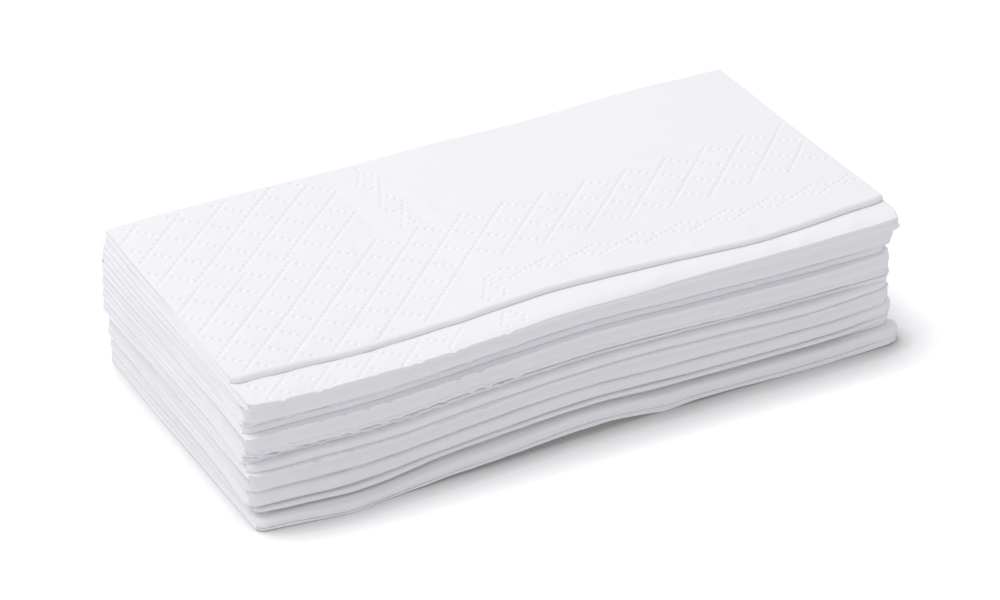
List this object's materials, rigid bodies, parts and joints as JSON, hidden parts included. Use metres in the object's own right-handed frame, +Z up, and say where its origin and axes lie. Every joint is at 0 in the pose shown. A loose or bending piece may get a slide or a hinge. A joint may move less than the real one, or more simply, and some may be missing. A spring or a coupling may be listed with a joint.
{
  "type": "stack of paper napkins",
  "caption": "Low stack of white embossed paper napkins, each folded to an eighth, with closed folds at the back and right and cut edges at the left.",
  "frame": {"origin": "middle of the stack's box, on the surface it rests on", "axes": "+X along the stack from its cut end to its creased end, +Y from the open front edge to the folded back edge, +Z up"},
  "size_m": [0.1664, 0.0848, 0.0358],
  "materials": {
    "tissue": "soft white creped tissue, embossed with dots, matt"
  },
  "bodies": {
    "root": {"napkin_01": "tissue", "napkin_02": "tissue", "napkin_03": "tissue", "napkin_04": "tissue", "napkin_05": "tissue", "napkin_06": "tissue", "napkin_07": "tissue", "napkin_08": "tissue", "napkin_09": "tissue", "napkin_10": "tissue"}
  },
  "joints": []
}
